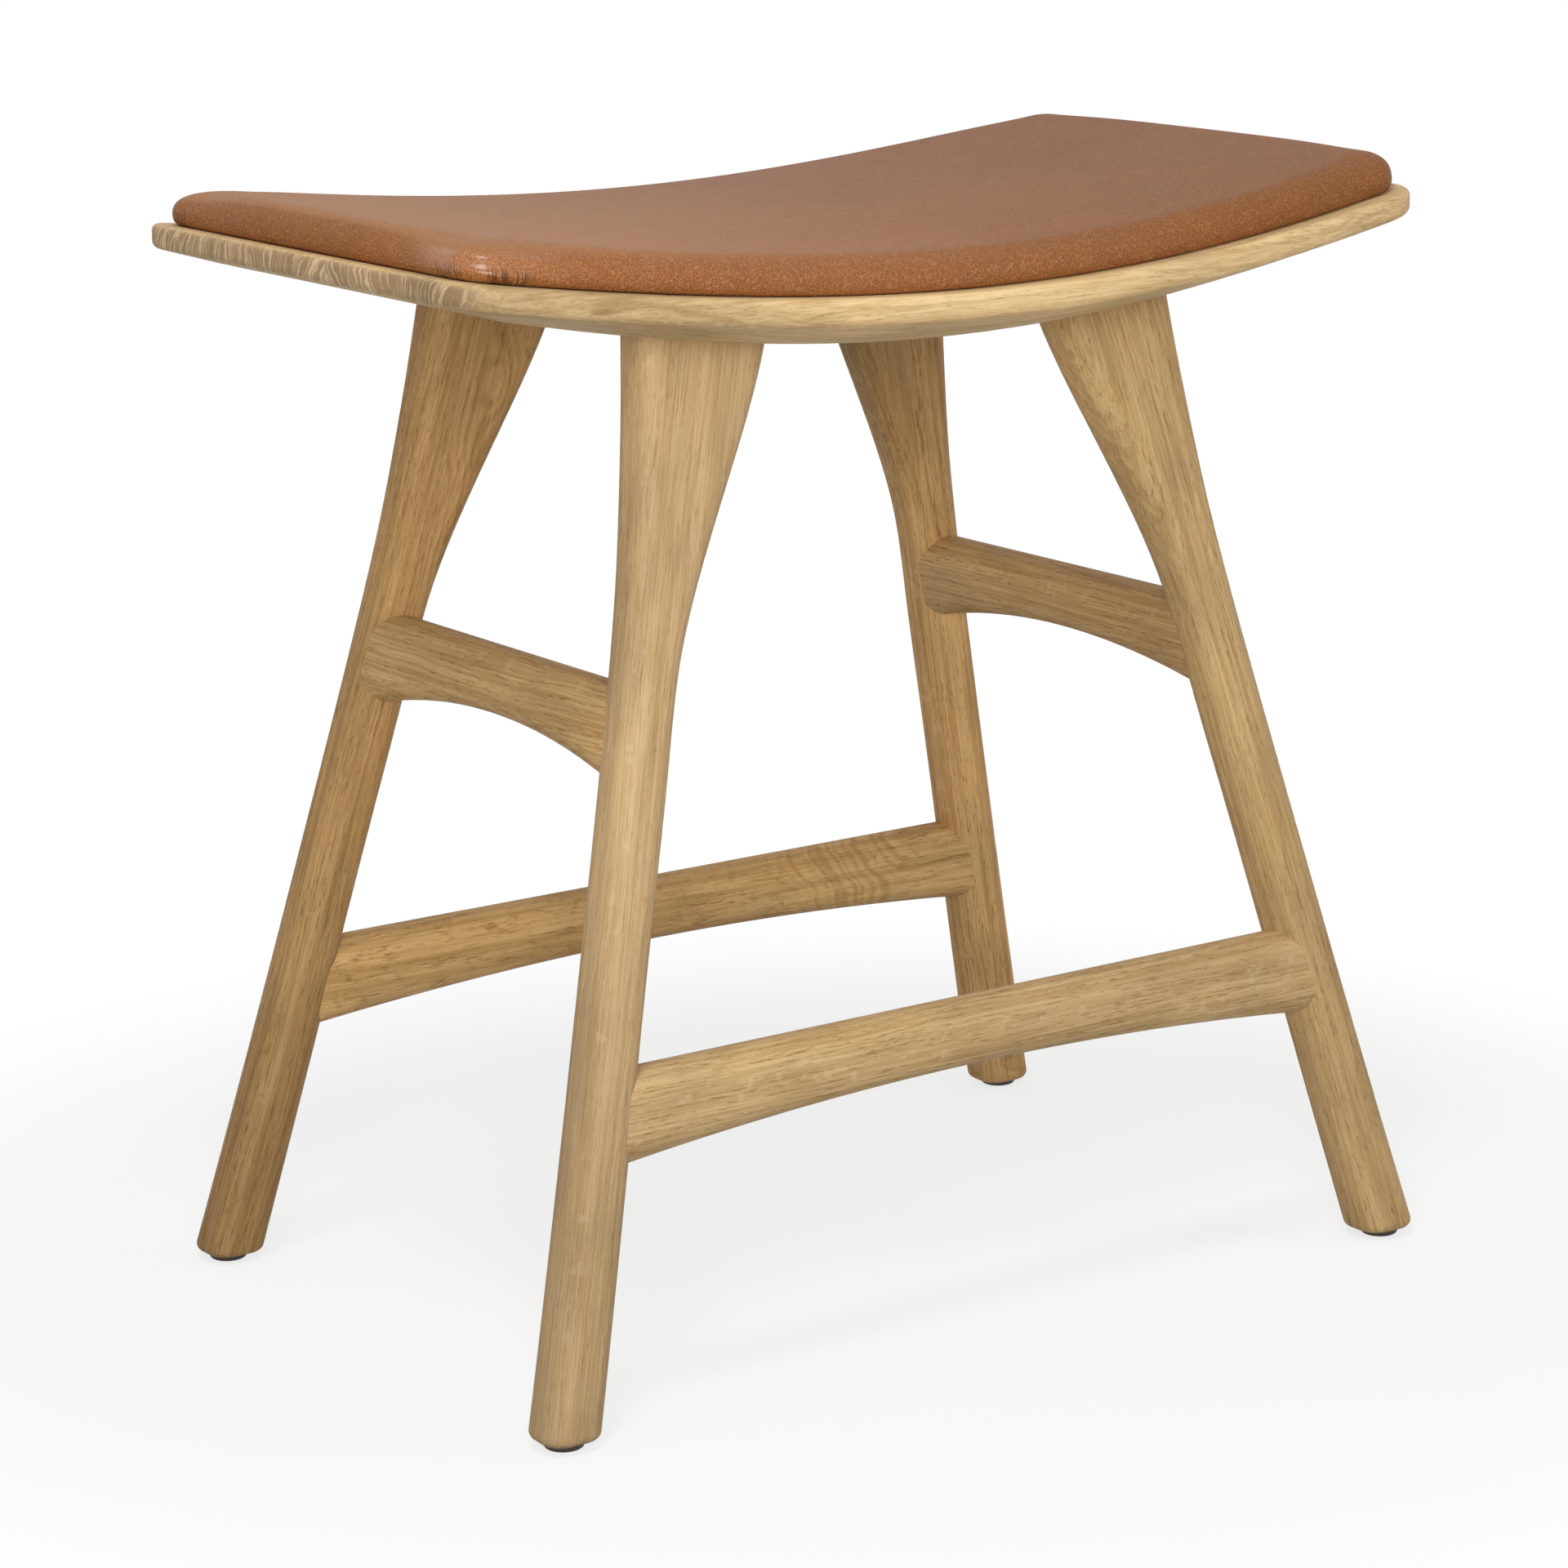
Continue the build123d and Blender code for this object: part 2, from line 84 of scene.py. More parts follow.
class Finish:
    """The nodes of one material, or of the world."""

    def __init__(self, holder):
        self.holder = holder
        holder.use_nodes = True
        self.tree = holder.node_tree
        self.tree.nodes.clear()

    def node(self, kind, settings=None, inputs=None, give=0):
        """Any node. give names the output or outputs to carry on with, and None gives the node itself."""
        made = self.tree.nodes.new("ShaderNode" + kind)
        for name, value in (settings or {}).items():
            setattr(made, name, value)
        for key, value in (inputs or {}).items():
            if isinstance(value, Flow):
                self.tree.links.new(value.socket, made.inputs[key])
            else:
                made.inputs[key].default_value = value
        if give is None:
            return made
        if isinstance(give, tuple):
            return [Flow(self, made.outputs[key]) for key in give]
        return Flow(self, made.outputs[give])

    def place(self):
        """Where the surface is, in mm."""
        return self.vector("SCALE", self.node("TexCoord", give="Object"), scale=1000.0)

    def vector(self, operation, *values, give=0, scale=1.0):
        inputs = dict(enumerate(values))
        if operation == "SCALE":
            inputs["Scale"] = scale
        return self.node("VectorMath", {"operation": operation}, inputs, give)

    def dot(self, vector, way):
        return self.vector("DOT_PRODUCT", vector, tuple(way), give="Value")

    def join(self, x, y, z):
        return self.node("CombineXYZ", None, {0: x, 1: y, 2: z})

    def split(self, vector):
        return self.node("SeparateXYZ", None, {0: vector}, (0, 1, 2))

    def noise(self, vector, scale=1.0, detail=2.0, roughness=0.5, give=0):
        inputs = {"Vector": vector, "Scale": scale, "Detail": detail, "Roughness": roughness}
        return self.node("TexNoise", None, inputs, give)

    def step(self, value, low, high, start=0.0, end=1.0):
        """A smooth step from start at low to end at high."""
        settings = {"interpolation_type": "SMOOTHSTEP"}
        return self.node("MapRange", settings, {0: value, 1: low, 2: high, 3: start, 4: end})

    def mix(self, first, second, share, blend="MIX"):
        """Two colours mixed by a share. The node's colours go in at sockets 6 and 7 and come out at 2."""
        settings = {"data_type": "RGBA", "blend_type": blend}
        return self.node("Mix", settings, {0: share, 6: first, 7: second}, 2)

    def seen(self):
        """1 for what the camera sees, straight, mirrored or through glass."""
        names = ("Is Camera Ray", "Is Glossy Ray", "Is Transmission Ray")
        straight, mirrored, through = self.node("LightPath", give=names)
        return straight.maths("MAXIMUM", mirrored.maths("MAXIMUM", through))

    def close(self, surface, kind="OutputMaterial"):
        """Feed the surface to the output, and give back the material or world."""
        self.node(kind, None, {"Surface": surface}, None)
        return self.holder


def finish(name):
    """A new material, ready for its nodes."""
    return Finish(bpy.data.materials.new(name))


def paint(colour):
    """A colour with the fourth number that Blender wants."""
    return (*colour, 1.0)


# Oak, cut as a solid from round growth rings
oak_pale = (0.650, 0.470, 0.262)
oak_mid = (0.560, 0.382, 0.186)
oak_deep = (0.350, 0.205, 0.078)
oak_pore = (0.200, 0.105, 0.038)
oak_ray = (0.740, 0.570, 0.370)
oak_end = (0.290, 0.180, 0.096)

# How large each mark is in mm, twice across the grain and once along it
wander_size = (55, 55, 190)
waver_size = (9, 9, 22)
fibre_size = (0.9, 0.9, 40)
strand_size = (3.6, 3.6, 120)
blotch_size = (24, 24, 55)
pore_size = (0.62, 0.62, 7)
patch_size = (7, 7, 30)

# How large each ray is in mm, round the heart, away from it and along the grain
fleck_size = (0.8, 14, 7)
spoke_size = (0.9, 26, 12)

# How far the rings and rays stray, in mm, and how unevenly they are spaced, in rings
wander_reach = 14
ripple_reach = 5
waver_reach = 1.6
spoke_bend = 6
uneven_run = 7
uneven_rings = 2.6

# How strongly each mark colours the wood
late_share = 0.45
early_share = 0.35
ring_tone_share = 1.1
band_share = 0.72
strand_share = 0.42
fibre_share = 0.36
pale_share = 0.45
fleck_share = 0.30
end_share = 0.88
spoke_share = 0.55
pore_share = 0.40
early_pore_share = 0.18
knot_share = 0.55
blotch_tone = 0.84

# How the surface is finished, with depth and radius in metres
oak_gloss = 0.17
oak_roughness = 0.50
oak_bump_depth = 0.0004
soft_edge_radius = 0.0022

# How far from a glued side the edges stay sharp, and from where they are soft, in mm
joint_margin = (2.3, 3.0)


def oak(name, start, grain, across, heart, ring=2.0, slope=(0.0, 0.0), tone=(1, 1, 1), seed=0.0,
        bands=1.0, pores=1.0, rise=(0.0, 1.0, 0.0), fade=(0, 1, 1, 1), swirls=(), knots=(), joints=None):
    """The heart of the tree is given in mm across the piece from start, and slope tilts it along the piece.

    rise gives two places along the piece and how much the rings grow between them, for pointed arches. fade
    gives two places along the piece and how light the wood is at each. Each swirl or knot is a place, its
    size across and along, and how far it pushes the rings. joints are the glued sides, which stay sharp."""
    along = Vector(grain).normalized()
    side = Vector(across)
    side = (side - along * side.dot(along)).normalized()
    lift = along.cross(side)
    wood = finish(name)
    spot = wood.vector("SUBTRACT", wood.place(), tuple(start))
    u = wood.dot(spot, side)
    v = wood.dot(spot, lift)
    w = wood.dot(spot, along)

    def marks(size, seeded, detail=2.0, **settings):
        """Noise that is stretched along the grain. seeded is the axis on which the seed shifts it."""
        parts = [u / size[0], v / size[1], w / size[2]]
        parts[seeded] = parts[seeded] + seed
        return wood.noise(wood.join(*parts), detail=detail, **settings)

    def way_from(place, wide, long):
        """The way from a swirl or knot, measured in its own sizes."""
        away = Vector(place) - Vector(start)
        way_u = (u - away.dot(side)) / wide
        way_v = (v - away.dot(lift)) / wide
        way_w = (w - away.dot(along)) / long
        return wood.join(way_u, way_v, way_w)

    # the growth rings wander slowly along the tree
    wander_u, wander_v, ripple = wood.split(marks(wander_size, 0, give="Color"))
    du = u - heart[0] + w * slope[0] + (wander_u - 0.5) * wander_reach
    dv = v - heart[1] + w * slope[1] + (wander_v - 0.5) * wander_reach
    reach = (du * du + dv * dv) ** 0.5
    grown = reach + wood.step(w, rise[0], rise[1]) * rise[2] + (ripple - 0.5) * ripple_reach
    for place, wide, long, push in tuple(swirls) + tuple(knots):
        way = way_from(place, wide, long)
        squared = wood.vector("DOT_PRODUCT", way, way, give="Value")
        grown = grown + (squared * -1).maths("EXPONENT") * push
    waver = marks(waver_size, 1)
    grown = grown + (waver - 0.5) * waver_reach
    uneven = wood.noise(wood.join(grown / uneven_run + seed, 0.0, 0.0), detail=1.0)
    rings = grown / ring + (uneven - 0.5) * uneven_rings
    share = rings.maths("FRACT")
    ring_tone = wood.noise(wood.join(rings * 0.9, seed, 0.0), detail=1.0)
    early = 1 - wood.step(share, 0.05, 0.55)
    late = wood.step(share, 0.35, 0.98)

    # fibres and pores
    fibre = marks(fibre_size, 1, detail=3.0, roughness=0.62)
    strand = marks(strand_size, 0)
    blotch = marks(blotch_size, 1)
    dash = marks(pore_size, 0, roughness=0.6)
    patchy = marks(patch_size, 2, detail=1.0)
    pitted = dash + early * 0.07 + (patchy - 0.5) * 0.22
    pore = wood.step(pitted, 0.64 - 0.03 * pores, 0.71 - 0.03 * pores)

    # rays run out from the heart
    turn = dv.maths("ARCTAN2", du) * math.hypot(*heart)

    def rays(turned, size):
        return wood.noise(wood.join(turned / size[0] + seed, reach / size[1], w / size[2]), detail=1.0)

    fleck = wood.step(rays(turn, fleck_size), 0.60, 0.70)
    spoke = wood.step(rays(turn + (waver - 0.5) * spoke_bend, spoke_size), 0.52, 0.60)

    # how the surface cuts the grain
    facing = wood.node("NewGeometry", give="Normal")
    end_cut = wood.step(abs(wood.dot(facing, along)), 0.45, 0.9)
    radial = abs((wood.dot(facing, side) * du + wood.dot(facing, lift) * dv) / reach)
    quarter = 1 - wood.step(radial, 0.15, 0.75)

    # colour, one mark over the other
    calm = min(bands, 1.0)
    shade = late * late_share + early * early_share + (ring_tone - 0.5) * ring_tone_share
    layers = (
        (oak_mid, wood.step(fibre, 0.38, 0.62)),
        (oak_deep, wood.step(shade, 0.0, 1.0) * (band_share * bands)),
        (oak_deep, wood.step(strand, 0.42, 0.70) * (strand_share * calm)),
        (oak_deep, wood.step(fibre, 0.54, 0.72) * (fibre_share * calm)),
        (oak_pale, wood.step(strand, 0.50, 0.25) * pale_share),
        (oak_ray, fleck * quarter * (1 - end_cut) * fleck_share),
        (oak_deep, fleck * (1 - quarter) * (1 - end_cut) * fleck_share),
        (oak_end, end_cut * end_share),
        (oak_ray, spoke * end_cut * spoke_share),
        (oak_pore, pore * (early * early_pore_share + pore_share) * pores),
    )
    body = paint(oak_pale)
    for colour, amount in layers:
        body = wood.mix(body, paint(colour), amount)
    for place, wide, long, push in knots:
        distance = wood.vector("LENGTH", way_from(place, wide, long), give="Value") + (fibre - 0.5) * 0.5
        body = wood.mix(body, paint(oak_pore), wood.step(distance, 0.75, 0.1) * knot_share)
    body = wood.mix(body, wood.vector("SCALE", body, scale=blotch_tone), wood.step(blotch, 0.35, 0.70))
    body = wood.mix(body, paint(tone), 1.0, "MULTIPLY")
    # lighter or darker along the piece; on the legs this is painted light and shade
    body = wood.vector("SCALE", body, scale=wood.step(w, *fade))

    # a fine relief, and softened edges on the pieces that have glued sides
    height = fibre * 0.35 - pore * 0.8 - early * 0.15
    relief = {"Strength": 0.20, "Distance": oak_bump_depth, "Height": height}
    if joints:
        soft = wood.node("Bevel", {"samples": 4}, {"Radius": soft_edge_radius})
        hard, free = joint_margin
        first, last = joints
        past_first = wood.step(u, first + hard, first + free)
        before_last = wood.step(u, last - hard, last - free)
        relief["Normal"] = wood.mix(facing, soft, past_first * before_last)
    surface = wood.node("BsdfPrincipled", None, {
        "Base Color": body,
        "Roughness": oak_roughness + fibre * 0.10 + pore * 0.2,
        "Normal": wood.node("Bump", None, relief),
        "Specular IOR Level": oak_gloss,
    })
    return wood.close(surface)


# Full-grain leather with a fine pebbled surface
leather_body = (0.405, 0.138, 0.029)
leather_dark = (0.185, 0.058, 0.015)
leather_light = (0.530, 0.248, 0.098)

# How many marks of a kind lie side by side in each mm, and how far the cells drift, in mm
pebble_scale = 0.58
crumb_scale = 1.3
fine_scale = 2.2
patch_scale = 0.10
mottle_scale = 0.018
drift_scale = 0.30
drift_reach = 1.6

# How strongly each mark colours the leather
mottle_share = 0.40
patch_share = 0.22
pebble_share = 0.75
crumb_share = 0.62
wrinkle_shade_share = 0.20
tuck_shade_share = 0.8
painted_sheen_share = 0.42

# How the surface is finished, with depths in metres
leather_gloss = 0.10
leather_roughness = 0.36
front_coat = 0.35
taut_coat = 0.55
coat_roughness = 0.30
pebble_depth = 0.0007
tuck_depth = 0.0015


def leather(name, corner, floor_rise):
    """corner is the middle of the pad's corner turn in mm, and floor_rise the seat's height in mm under x."""
    hide = finish(name)
    spot = hide.place()
    x, y, z = hide.split(spot)
    drift = hide.noise(spot, drift_scale, give="Color")
    bend = {0: drift, 1: (drift_reach,) * 3, 2: spot}
    bent = hide.node("VectorMath", {"operation": "MULTIPLY_ADD"}, bend)

    def cells(feature, scale):
        return hide.node("TexVoronoi", {"feature": feature}, {"Vector": bent, "Scale": scale}, "Distance")

    pebble = cells("DISTANCE_TO_EDGE", pebble_scale)
    crumb = cells("F1", crumb_scale)
    valley = 1 - hide.step(pebble, 0.0, 0.20)
    fine = hide.noise(spot, fine_scale, 3.0)
    mottle = hide.noise(spot, mottle_scale, 3.0)
    patch = hide.noise(spot, patch_scale)
    upward = hide.dot(hide.node("NewGeometry", give="Normal"), (0, 0, 1))

    # shallow wrinkles on the top, darkened with painted shade along their lines
    fold = hide.noise(hide.join(x / 60, y / 38, 0.0), detail=3.0)
    line = 1 - hide.step(abs(fold - 0.5), 0.0, 0.010)
    line = line * hide.step(hide.noise(hide.join(x / 45, y / 45, 7.0)), 0.50, 0.62)
    line = line * hide.step(upward, 0.90, 0.98)

    # small tucks under the corners, deepest on the left, darkened with painted shade in their folds
    turn_x = abs(x) - corner[0]
    turn_y = abs(y) - corner[1]
    angle = turn_y.maths("ARCTAN2", turn_x)
    above = z - floor_rise(x)
    gather = hide.noise(hide.join(angle * 9, above / 30, 3.0), detail=1.0)
    sharp = 1 - hide.step(abs(gather - 0.5), 0.0, 0.07)
    side_turn = hide.step(angle, 0.95, 1.20) * hide.step(angle, 2.10, 1.75)
    end_turn = hide.step(angle, 0.55, 0.30) * hide.step(angle, -0.65, -0.35)
    low = hide.step(above + (gather - 0.5) * 6, 8.5, 3.0)
    tuck = sharp * low * side_turn.maths("MAXIMUM", end_turn * 0.7) * hide.step(x, 60, -120, 0.2, 1.0)

    # the near left corner is pulled taut and the front has a glossy coat; the top is paler to the left, a
    # painted sheen
    from_corner = (turn_x * turn_x + turn_y * turn_y) ** 0.5
    taut = hide.step(from_corner, 36, 14) * hide.step(upward, 0.95, 0.78)
    taut = taut * hide.step(x, -100, -200) * hide.step(y, -60, -110)
    front = hide.step(upward, 0.93, 0.78) * hide.step(y, -60, -120) * hide.step(x, 190, -150)
    # painted sheen: the top is lighter toward the left end
    wear_and_sheen = hide.step(x, 60, -230) * hide.step(upward, 0.80, 0.97)

    # colour, one mark over the other
    layers = (
        (leather_dark, hide.step(mottle, 0.35, 0.75) * mottle_share),
        (leather_light, hide.step(patch, 0.45, 0.8) * patch_share),
        (leather_light, hide.step(pebble, 0.24, 0.04) * pebble_share),
        (leather_dark, hide.step(crumb, 0.15, 0.60) * crumb_share),
        (leather_dark, (line * wrinkle_shade_share).maths("MAXIMUM", tuck * tuck_shade_share)),
        (leather_light, wear_and_sheen * painted_sheen_share),
    )
    body = paint(leather_body)
    for colour, amount in layers:
        body = hide.mix(body, paint(colour), amount)
    # painted light and shade: the whole pad is lighter to the left and darker to the right
    body = hide.vector("SCALE", body, scale=hide.step(x, -60, 230, 1.06, 0.95))

    height = (valley * 0.6 - crumb * 0.5 + fine * 0.15) * (1 - taut * 0.85)
    relief = hide.node("Bump", None, {"Strength": 0.8, "Distance": pebble_depth, "Height": height})
    dents = 1 - line * 0.15 - tuck * 0.9
    broad = {"Strength": 0.9, "Distance": tuck_depth, "Height": dents, "Normal": relief}
    surface = hide.node("BsdfPrincipled", None, {
        "Base Color": body,
        "Roughness": leather_roughness + valley * 0.08 + patch * 0.10 - taut * 0.10,
        "Normal": hide.node("Bump", None, broad),
        "Specular IOR Level": leather_gloss,
        "Coat Weight": front * front_coat + taut * taut_coat,
        "Coat Roughness": coat_roughness,
    })
    return hide.close(surface)


# The other materials
def plywood(name):
    """Pale and dark layers, one over the other."""
    sheet = finish(name)
    x, y, z = sheet.split(sheet.place())
    grain = sheet.noise(sheet.join(x / 60, y / 1.5, z), detail=3.0)
    layer = sheet.step((z / 1.2).maths("FRACT"), 0.4, 0.6)
    body = sheet.mix(paint((0.62, 0.44, 0.26)), paint((0.45, 0.29, 0.15)), grain)
    body = sheet.mix(body, paint((0.30, 0.18, 0.09)), layer * 0.3)
    surface = sheet.node("BsdfPrincipled", None, {"Base Color": body, "Roughness": 0.55 + grain * 0.2})
    return sheet.close(surface)


def woven_cloth(name):
    """Thin black cloth with a plain weave."""
    cloth = finish(name)
    spot = cloth.place()
    x, y, _ = cloth.split(spot)
    threads = 4.2
    weave = ((x * threads).maths("SINE") * (y * threads).maths("SINE")) * 0.5 + 0.5
    fuzz = cloth.noise(spot, 3.0, 2.0)
    body = cloth.mix(paint((0.010, 0.010, 0.011)), paint((0.045, 0.044, 0.043)), weave * 0.7 + fuzz * 0.3)
    relief = cloth.node("Bump", None, {"Strength": 0.4, "Distance": 0.0002, "Height": weave})
    surface = cloth.node("BsdfPrincipled", None, {"Base Color": body, "Roughness": 0.9, "Normal": relief})
    return cloth.close(surface)


def steel(name, colour, rough):
    """Bare or plated steel with uneven wear."""
    metal = finish(name)
    wear = metal.noise(metal.place(), 1.4, 3.0)
    body = metal.mix(paint(colour), paint(tuple(part * 0.7 for part in colour)), wear)
    inputs = {"Base Color": body, "Metallic": 1.0, "Roughness": wear * 0.2 + rough}
    return metal.close(metal.node("BsdfPrincipled", None, inputs))


def moulded_plastic(name, colour):
    """Plastic with a fine grain, scuffed in places."""
    plastic = finish(name)
    spot = plastic.place()
    speck = plastic.noise(spot, 2.6, 2.0)
    scuff = plastic.noise(spot, 0.35, 3.0)
    wear_and_sheen = paint(tuple(part * 2.2 for part in colour))
    body = plastic.mix(paint(colour), wear_and_sheen, plastic.step(scuff, 0.5, 0.8) * 0.6)
    relief = plastic.node("Bump", None, {"Strength": 0.2, "Distance": 0.0001, "Height": speck})
    inputs = {"Base Color": body, "Roughness": 0.38 + scuff * 0.25, "Normal": relief}
    return plastic.close(plastic.node("BsdfPrincipled", None, inputs))


def dress(node_name, material):
    """Give one CAD piece its material."""
    piece = nodes[node_name]
    piece.data.materials.clear()
    piece.data.materials.append(material)


# Legs stand out from the seat, so each has its own grain direction
splay_run = 0.2485
lean_run = 0.1449
foot_x = 222.8
foot_y = 146.3
# Each leg's fade is painted light and shade: the front legs and the back left leg are darker toward the foot
# and lighter toward the top, and the back right leg is darker at the top, under the seat. The back legs'
# darker, browner tones are partly the wood's own colour and partly painted shade under the seat.
leg_woods = {
    "leg_front_left": dict(
        heart=(-58, 30), ring=1.5, tone=(0.90, 0.87, 0.83), seed=3.1, bands=0.55, pores=0.5,
        fade=(0, 440, 0.84, 1.20),
        swirls=[((-129.7, -104.4, 381.8), 9, 30, 5)]),
    "leg_front_right": dict(
        heart=(46, 34), ring=1.9, tone=(0.94, 0.89, 0.77), seed=9.4, bands=0.8, pores=0.9,
        fade=(0, 440, 0.95, 1.12),
        swirls=[((139.1, -120.2, 272.8), 7, 16, 5)], knots=[((199.3, -154.8, 33.8), 4, 7, 4)]),
    "leg_back_left": dict(
        heart=(30, -45), ring=2.4, tone=(0.80, 0.68, 0.52), seed=15.7, bands=1.1,
        fade=(60, 260, 0.80, 1.17),
        swirls=[((-105.6, 74.6, 401.9), 9, 22, 8), ((-125.1, 81.3, 355.6), 8, 18, 6)]),
    "leg_back_right": dict(
        heart=(-25, 60), ring=2.2, tone=(1.02, 0.89, 0.70), seed=22.3, bands=1.1,
        fade=(280, 430, 1.09, 0.72),
        swirls=[((178.0, 118.7, 97.6), 9, 22, 7)], knots=[((216.9, 130.0, 19.7), 6, 9, 9)]),
}
for leg_name, wood in leg_woods.items():
    side_x = 1 if leg_name.endswith("right") else -1
    side_y = 1 if "back" in leg_name else -1
    foot = (side_x * foot_x, side_y * foot_y, 0.0)
    grain = (-side_x * splay_run, -side_y * lean_run, 1.0)
    dress(leg_name, oak("oak_" + leg_name, foot, grain, (1, 0, 0), **wood))

stretcher_woods = {
    "stretcher_front": dict(
        heart=(-34, 12), ring=2.1, slope=(0.01, 0.02), tone=(1.04, 1.01, 0.92), seed=31.0, bands=0.9),
    "stretcher_back": dict(
        heart=(2, -3), ring=2.7, slope=(0.03, 0.0), tone=(1.09, 0.97, 0.76), seed=37.5, bands=1.5,
        rise=(55, 150, 34)),
    "stretcher_left": dict(
        heart=(42, 20), ring=2.0, slope=(0.02, 0.01), tone=(1.05, 0.95, 0.77), seed=44.2, bands=1.1),
    "stretcher_right": dict(
        heart=(-40, -26), ring=2.0, slope=(0.0, 0.02), tone=(0.96, 0.88, 0.76), seed=51.8),
}
half_in_mm = 500  # half of a length in metres, as mm
for bar_name, wood in stretcher_woods.items():
    low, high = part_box(bar_name)
    middle = (low + high) * half_in_mm
    long_way = (1, 0, 0) if bar_name.endswith(("front", "back")) else (0, 1, 0)
    dress(bar_name, oak("oak_" + bar_name, middle, long_way, (0, 0, 1), **wood))

# The seat's front edge is darker to the left, with one swirl and one knot
front_edge_marks = dict(
    fade=(-200, -40, 0.80, 1.06),
    swirls=[((184.3, -146.7, 464.8), 8, 26, 7)],
    knots=[((-189.4, -146.0, 464.9), 3, 13, 6)])
stave_wood = dict(
    ring=2.8, slope=(0.01, 0.03), tone=(1.26, 1.27, 1.22), bands=0.8, pores=0.6, rise=(-200, -60, 12))
stave_hearts = ((30, -58), (-34, -66), (26, -60), (-30, 70), (24, -64))
stave_level = 455
open_side = 99  # further out than any stave's edge, so the whole edge is softened
for number, heart in enumerate(stave_hearts, 1):
    stave = f"seat_stave_{number}"
    low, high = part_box(stave)
    start = ((low.x + high.x) * half_in_mm, (low.y + high.y) * half_in_mm, stave_level)
    half = (high.y - low.y) * half_in_mm
    front_joint = -half if number > 1 else -open_side
    back_joint = half if number < len(stave_hearts) else open_side
    edge_marks = front_edge_marks if number == 1 else {}
    dress(stave, oak(
        "oak_" + stave, start, (1, 0, 0), (0, 1, 0), heart, seed=60.0 + 7.3 * number,
        joints=(front_joint, back_joint), **stave_wood, **edge_marks))

dowel_finish = oak(
    "beech_dowels", (0, 0, 300), (0, 0.2, 1), (1, 0, 0), (300, 200), 1.6, tone=(1.05, 0.98, 0.92), seed=90.0)
dress("seat_dowels", dowel_finish)
dress("stretcher_dowels", dowel_finish)
dress("pad_board", plywood("pad_plywood"))
dress("pad_liner", woven_cloth("liner_cloth"))
dress("pad_screws", steel("screw_zinc", (0.62, 0.60, 0.55), 0.28))
dress("glide_nails", steel("nail_steel", (0.40, 0.39, 0.38), 0.35))
glide_finish = moulded_plastic("glide_brown", (0.020, 0.013, 0.010))
for name in ("front_left", "front_right", "back_left", "back_right"):
    dress("glide_" + name, glide_finish)


# The leather pad, in mm above the dish of the seat
pad_half_length = 242.9
pad_shift = 0.9
pad_half_depth = 151.4
pad_end_half_depth = 128.9
pad_corner = 20.0
pad_end_bulge = 1.0
pad_wall = 5.6
pad_shoulder = 15.6
pad_left_rise = 1.6
pad_right_rise = 3.0
pad_roll = 13.5
pad_left_corner_roll = 17.0
pad_right_corner_roll = 5.0
pad_crown = 6.0
pad_crown_end = 243.0
pad_side_sweep = 22.5
pad_grid_step = 1.6
pad_grid_steps = 20
corner_reach = 32.0

# The seat's dish, as in the CAD
seat_half_length = 250.0
seat_middle_height = 458.6
seat_dish_rise = 21.6
dish_square_share = 1.18
dish_fourth_share = 0.18

# The turned-under edge: how far in from the wall, and how high over the seat
under_edge = (
    (0.0, 4.4), (0.1, 3.2), (0.35, 2.2), (0.8, 1.3), (1.6, 0.6), (2.8, 0.25), (5.0, 0.2), (12.0, 0.2),
    (21.5, 0.2), (21.5, 1.1))


def dish(x):
    """How high the seat lies under a point of the pad. It takes numbers and shader values alike."""
    share = (x / seat_half_length) * (x / seat_half_length)
    return seat_middle_height + (dish_square_share - dish_fourth_share * share) * share * seat_dish_rise


def pad_outline():
    """The pad's plan outline from the middle of a long side to the corner, and on to the middle of an end."""
    end_x, end_y, side_y = pad_half_length - pad_end_bulge, pad_end_half_depth, pad_half_depth
    rise = side_y - end_y
    radius_side = (end_x**2 + rise**2) / (2 * rise)
    radius_end = (end_y**2 + pad_end_bulge**2) / (2 * pad_end_bulge)
    side_centre = np.array([0.0, -side_y + radius_side])
    end_centre = np.array([pad_half_length - radius_end, 0.0])
    inner_side = radius_side - pad_corner
    inner_end = radius_end - pad_corner
    gap = end_centre - side_centre
    span = np.hypot(*gap)
    along = (inner_side**2 - inner_end**2 + span**2) / (2 * span)
    off = math.sqrt(inner_side**2 - along**2)
    unit = gap / span
    normal = np.array([-unit[1], unit[0]])
    options = [side_centre + unit * along + normal * off * way for way in (-1, 1)]
    corner = max(options, key=lambda spot: spot[0] - spot[1])
    side_angle = math.atan2(corner[1] - side_centre[1], corner[0] - side_centre[0])
    end_angle = math.atan2(corner[1] - end_centre[1], corner[0] - end_centre[0])
    middle_angle = (side_angle + end_angle) / 2

    def arc(centre, radius, first, last, count):
        angles = np.linspace(first, last, count)
        return centre + radius * np.stack([np.cos(angles), np.sin(angles)], axis=1)

    long_side = arc(side_centre, radius_side, -math.pi / 2, side_angle, 600)
    first_turn = arc(corner, pad_corner, side_angle, middle_angle, 60)
    second_turn = arc(corner, pad_corner, middle_angle, end_angle, 60)
    end = arc(end_centre, radius_end, end_angle, 0.0, 400)
    return np.concatenate([long_side, first_turn]), np.concatenate([second_turn, end]), corner * (1, -1)


half_side, half_end, corner_middle = pad_outline()


def evenly(points, share):
    """The point a share of the way along a line of points."""
    steps = np.hypot(*np.diff(points, axis=0).T)
    run = np.concatenate([[0.0], np.cumsum(steps)]) / steps.sum()
    return np.interp(share, run, points[:, 0]), np.interp(share, run, points[:, 1])


